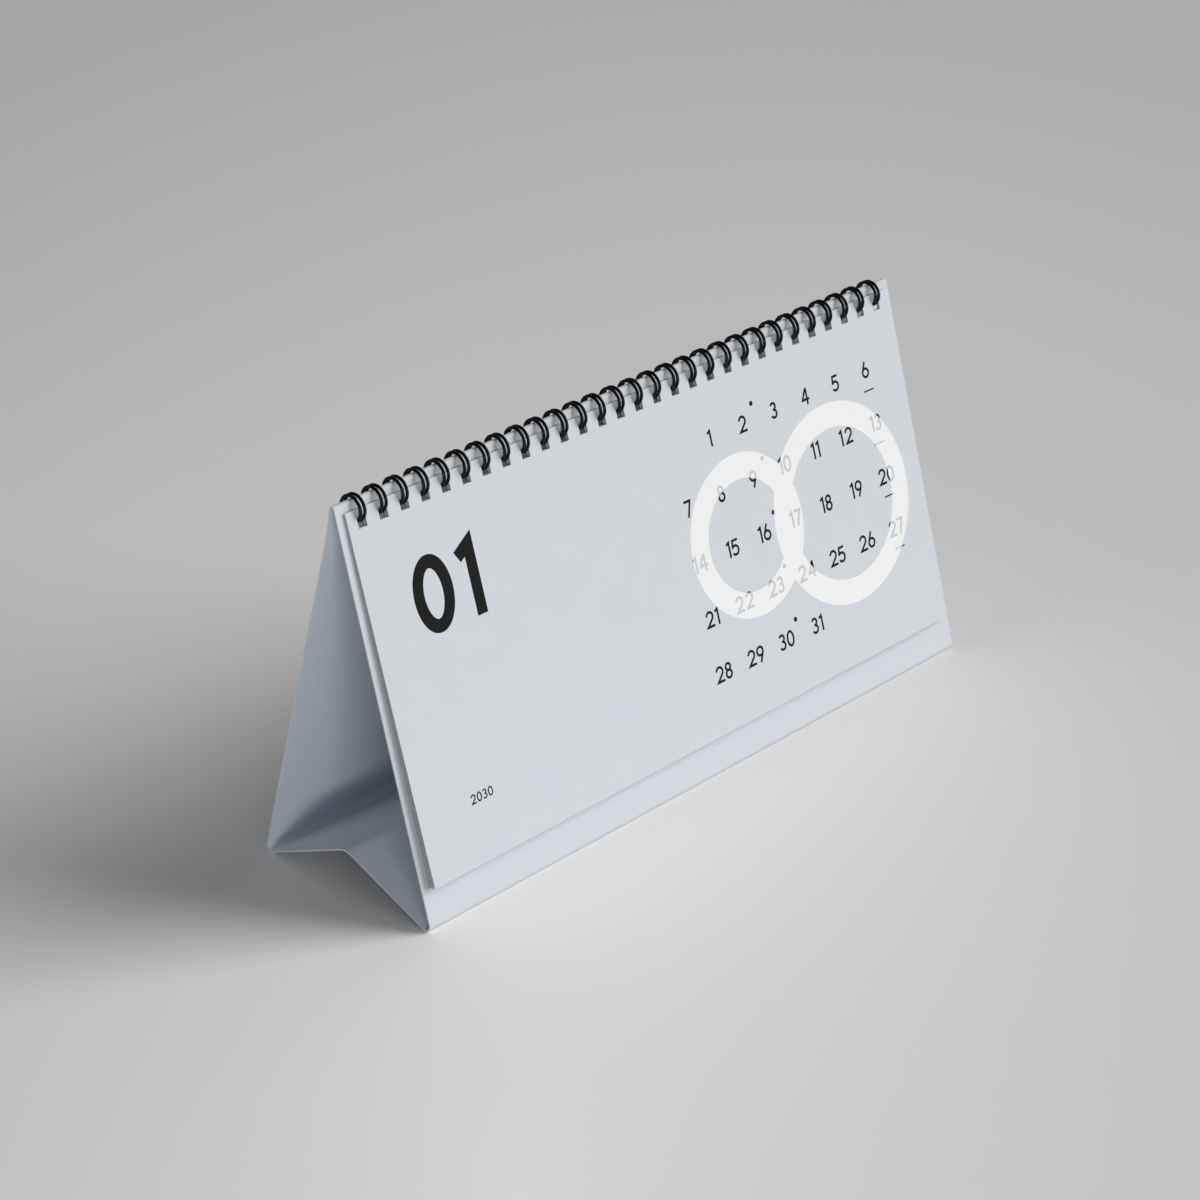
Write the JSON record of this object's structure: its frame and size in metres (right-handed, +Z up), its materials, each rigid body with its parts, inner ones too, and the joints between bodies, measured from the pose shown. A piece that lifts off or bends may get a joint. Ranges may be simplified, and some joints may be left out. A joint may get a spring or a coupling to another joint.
{
  "type": "desk calendar",
  "caption": "Tent-shaped desk calendar: folded card stand with a raised base crease, a pad of dated leaves and a twin-loop wire binding along the ridge.",
  "frame": {"origin": "on the surface that the stand rests on, under the middle of the ridge", "axes": "+X along the ridge to the right as seen from the pad's side, -Y towards the viewer of the pad, +Z up"},
  "size_m": [0.254, 0.0718, 0.1287],
  "materials": {
    "card": "matt pale cool grey card",
    "paper": "matt pale cool grey paper",
    "black_wire": "gloss black coated steel wire"
  },
  "bodies": {
    "front": {"front_panel": "card", "glue_flap": "card", "leaf_6": "paper", "leaf_5": "paper", "leaf_4": "paper", "leaf_3": "paper", "leaf_2": "paper"},
    "rear": {"rear_panel": "card"},
    "rear_base": {"rear_base_panel": "card"},
    "front_base": {"front_base_panel": "card", "base_crease": "card"},
    "wire": {"binding_wire": "black_wire"},
    "front_leaf": {"leaf_1": "paper", "leaf_1_punched_margin": "paper"}
  },
  "joints": [
    {"name": "stand_fold", "type": "hinge", "parent": "front", "child": "rear", "pos_m": [0, 0.00048, 0.12647], "axis": [-1, 0, 0], "range_deg": [0, 24]},
    {"name": "rear_base_fold", "type": "hinge", "parent": "rear", "child": "rear_base", "pos_m": [0, 0.03381, 0.00205], "axis": [-1, 0, 0], "range_deg": [0, 46.4]},
    {"name": "front_base_fold", "type": "hinge", "parent": "front", "child": "front_base", "pos_m": [0, -0.03381, 0.00205], "axis": [1, 0, 0], "range_deg": [0, 46.4], "deforming": ["base_crease"]},
    {"name": "wire_turn", "type": "hinge", "parent": "front", "child": "wire", "pos_m": [0, 0.0007, 0.12412], "axis": [-1, 0, 0], "range_deg": [0, 20.6]},
    {"name": "leaf_turn", "type": "hinge", "parent": "front", "child": "front_leaf", "pos_m": [0, 0, 0.13131], "axis": [-1, 0, 0], "range_deg": [0, 327.28], "deforming": ["leaf_1_punched_margin"]}
  ],
  "couplings": [
    {"joint": "rear_base_fold", "follows": "stand_fold", "ratio": 1.93},
    {"joint": "front_base_fold", "follows": "stand_fold", "ratio": 1.93},
    {"joint": "wire_turn", "follows": "stand_fold", "ratio": 0.85}
  ]
}
